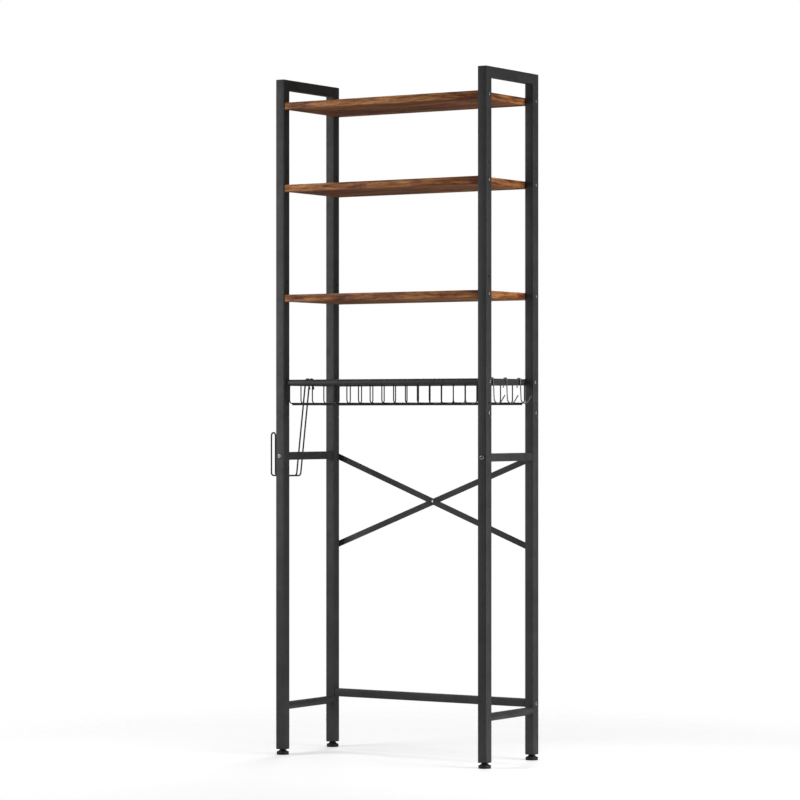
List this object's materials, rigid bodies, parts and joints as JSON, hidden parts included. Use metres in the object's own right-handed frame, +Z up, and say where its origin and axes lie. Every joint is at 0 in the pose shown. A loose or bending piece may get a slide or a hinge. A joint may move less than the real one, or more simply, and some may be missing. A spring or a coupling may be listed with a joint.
{
  "type": "over-the-toilet storage rack",
  "caption": "Tall metal rack that stands over a toilet, with wooden boards, a wire basket, a cross-braced back, levelling feet, hanging hooks and a paper holder.",
  "frame": {"origin": "middle of the whole rack's box at floor level, with the hooks and the paper holder included, so the middle between the side frames is 38.2 mm towards +X and the middle between front and back faces of the posts is 2.3 mm towards -Y", "axes": "+Z up, front of the rack towards -Y, back against the wall towards +Y, side with the hooks towards +X and side with the paper holder towards -X"},
  "size_m": [0.7236, 0.2616, 1.71],
  "materials": {
    "painted_tube": "satin charcoal powder coat",
    "sleeve_steel": "bare steel tube",
    "fastener": "black zinc, semi-gloss",
    "board": "rustic brown wood-grain laminate on chipboard, matte",
    "black_wire": "black powder-coated steel wire, semi-gloss",
    "black_plastic": "moulded black plastic, matte",
    "foot_plastic": "moulded black plastic foot on a steel stud, matte"
  },
  "bodies": {
    "rack": {"upper_frame_left": "painted_tube", "lower_frame_left": "painted_tube", "mid_rail_left": "painted_tube", "upper_frame_right": "painted_tube", "lower_frame_right": "painted_tube", "mid_rail_right": "painted_tube", "back_rail": "painted_tube", "brace_bar_inner": "painted_tube", "brace_bar_outer": "painted_tube", "brace_rivet": "fastener", "joint_sleeve_front_left": "sleeve_steel", "joint_bolt_front_left": "fastener", "joint_sleeve_back_left": "sleeve_steel", "joint_bolt_back_left": "fastener", "mid_rail_bolt_front_left": "fastener", "mid_rail_bolt_back_left": "fastener", "back_rail_bolt_left": "fastener", "brace_bolt_left": "fastener", "joint_sleeve_front_right": "sleeve_steel", "joint_bolt_front_right": "fastener", "joint_sleeve_back_right": "sleeve_steel", "joint_bolt_back_right": "fastener", "mid_rail_bolt_front_right": "fastener", "mid_rail_bolt_back_right": "fastener", "back_rail_bolt_right": "fastener", "brace_bolt_right": "fastener", "shelf_top": "board", "shelf_middle": "board", "shelf_lower": "board", "shelf_screw_top_front_left": "fastener", "shelf_screw_top_front_right": "fastener", "shelf_screw_top_back_left": "fastener", "shelf_screw_top_back_right": "fastener", "shelf_screw_middle_front_left": "fastener", "shelf_screw_middle_front_right": "fastener", "shelf_screw_middle_back_left": "fastener", "shelf_screw_middle_back_right": "fastener", "shelf_screw_lower_front_left": "fastener", "shelf_screw_lower_front_right": "fastener", "shelf_screw_lower_back_left": "fastener", "shelf_screw_lower_back_right": "fastener", "basket_frame": "painted_tube", "basket_bolt_front_left": "fastener", "basket_bolt_front_right": "fastener", "basket_bolt_back_left": "fastener", "basket_bolt_back_right": "fastener", "basket_wire_tray": "black_wire", "end_plug_front_left": "black_plastic", "end_plug_front_right": "black_plastic", "end_plug_back_left": "black_plastic", "end_plug_back_right": "black_plastic"},
    "hook_front": {"hook_front": "black_wire"},
    "hook_middle": {"hook_middle": "black_wire"},
    "hook_back": {"hook_back": "black_wire"},
    "paper_holder": {"paper_holder": "black_wire"},
    "foot_front_left": {"foot_front_left": "foot_plastic"},
    "foot_front_right": {"foot_front_right": "foot_plastic"},
    "foot_back_left": {"foot_back_left": "foot_plastic"},
    "foot_back_right": {"foot_back_right": "foot_plastic"}
  },
  "joints": [
    {"name": "hook_front_slide", "type": "slide", "parent": "rack", "child": "hook_front", "axis": [0, 1, 0], "range_m": [-0.038, 0.02]},
    {"name": "hook_middle_slide", "type": "slide", "parent": "rack", "child": "hook_middle", "axis": [0, 1, 0], "range_m": [-0.032, 0.032]},
    {"name": "hook_back_slide", "type": "slide", "parent": "rack", "child": "hook_back", "axis": [0, 1, 0], "range_m": [-0.023, 0.017]},
    {"name": "paper_holder_slide", "type": "slide", "parent": "rack", "child": "paper_holder", "axis": [0, 1, 0], "range_m": [-0.065, 0.09]},
    {"name": "foot_front_left_screw", "type": "slide", "parent": "rack", "child": "foot_front_left", "axis": [0, 0, 1], "range_m": [-0.012, 0]},
    {"name": "foot_front_right_screw", "type": "slide", "parent": "rack", "child": "foot_front_right", "axis": [0, 0, 1], "range_m": [-0.012, 0]},
    {"name": "foot_back_left_screw", "type": "slide", "parent": "rack", "child": "foot_back_left", "axis": [0, 0, 1], "range_m": [-0.012, 0]},
    {"name": "foot_back_right_screw", "type": "slide", "parent": "rack", "child": "foot_back_right", "axis": [0, 0, 1], "range_m": [-0.012, 0]}
  ]
}
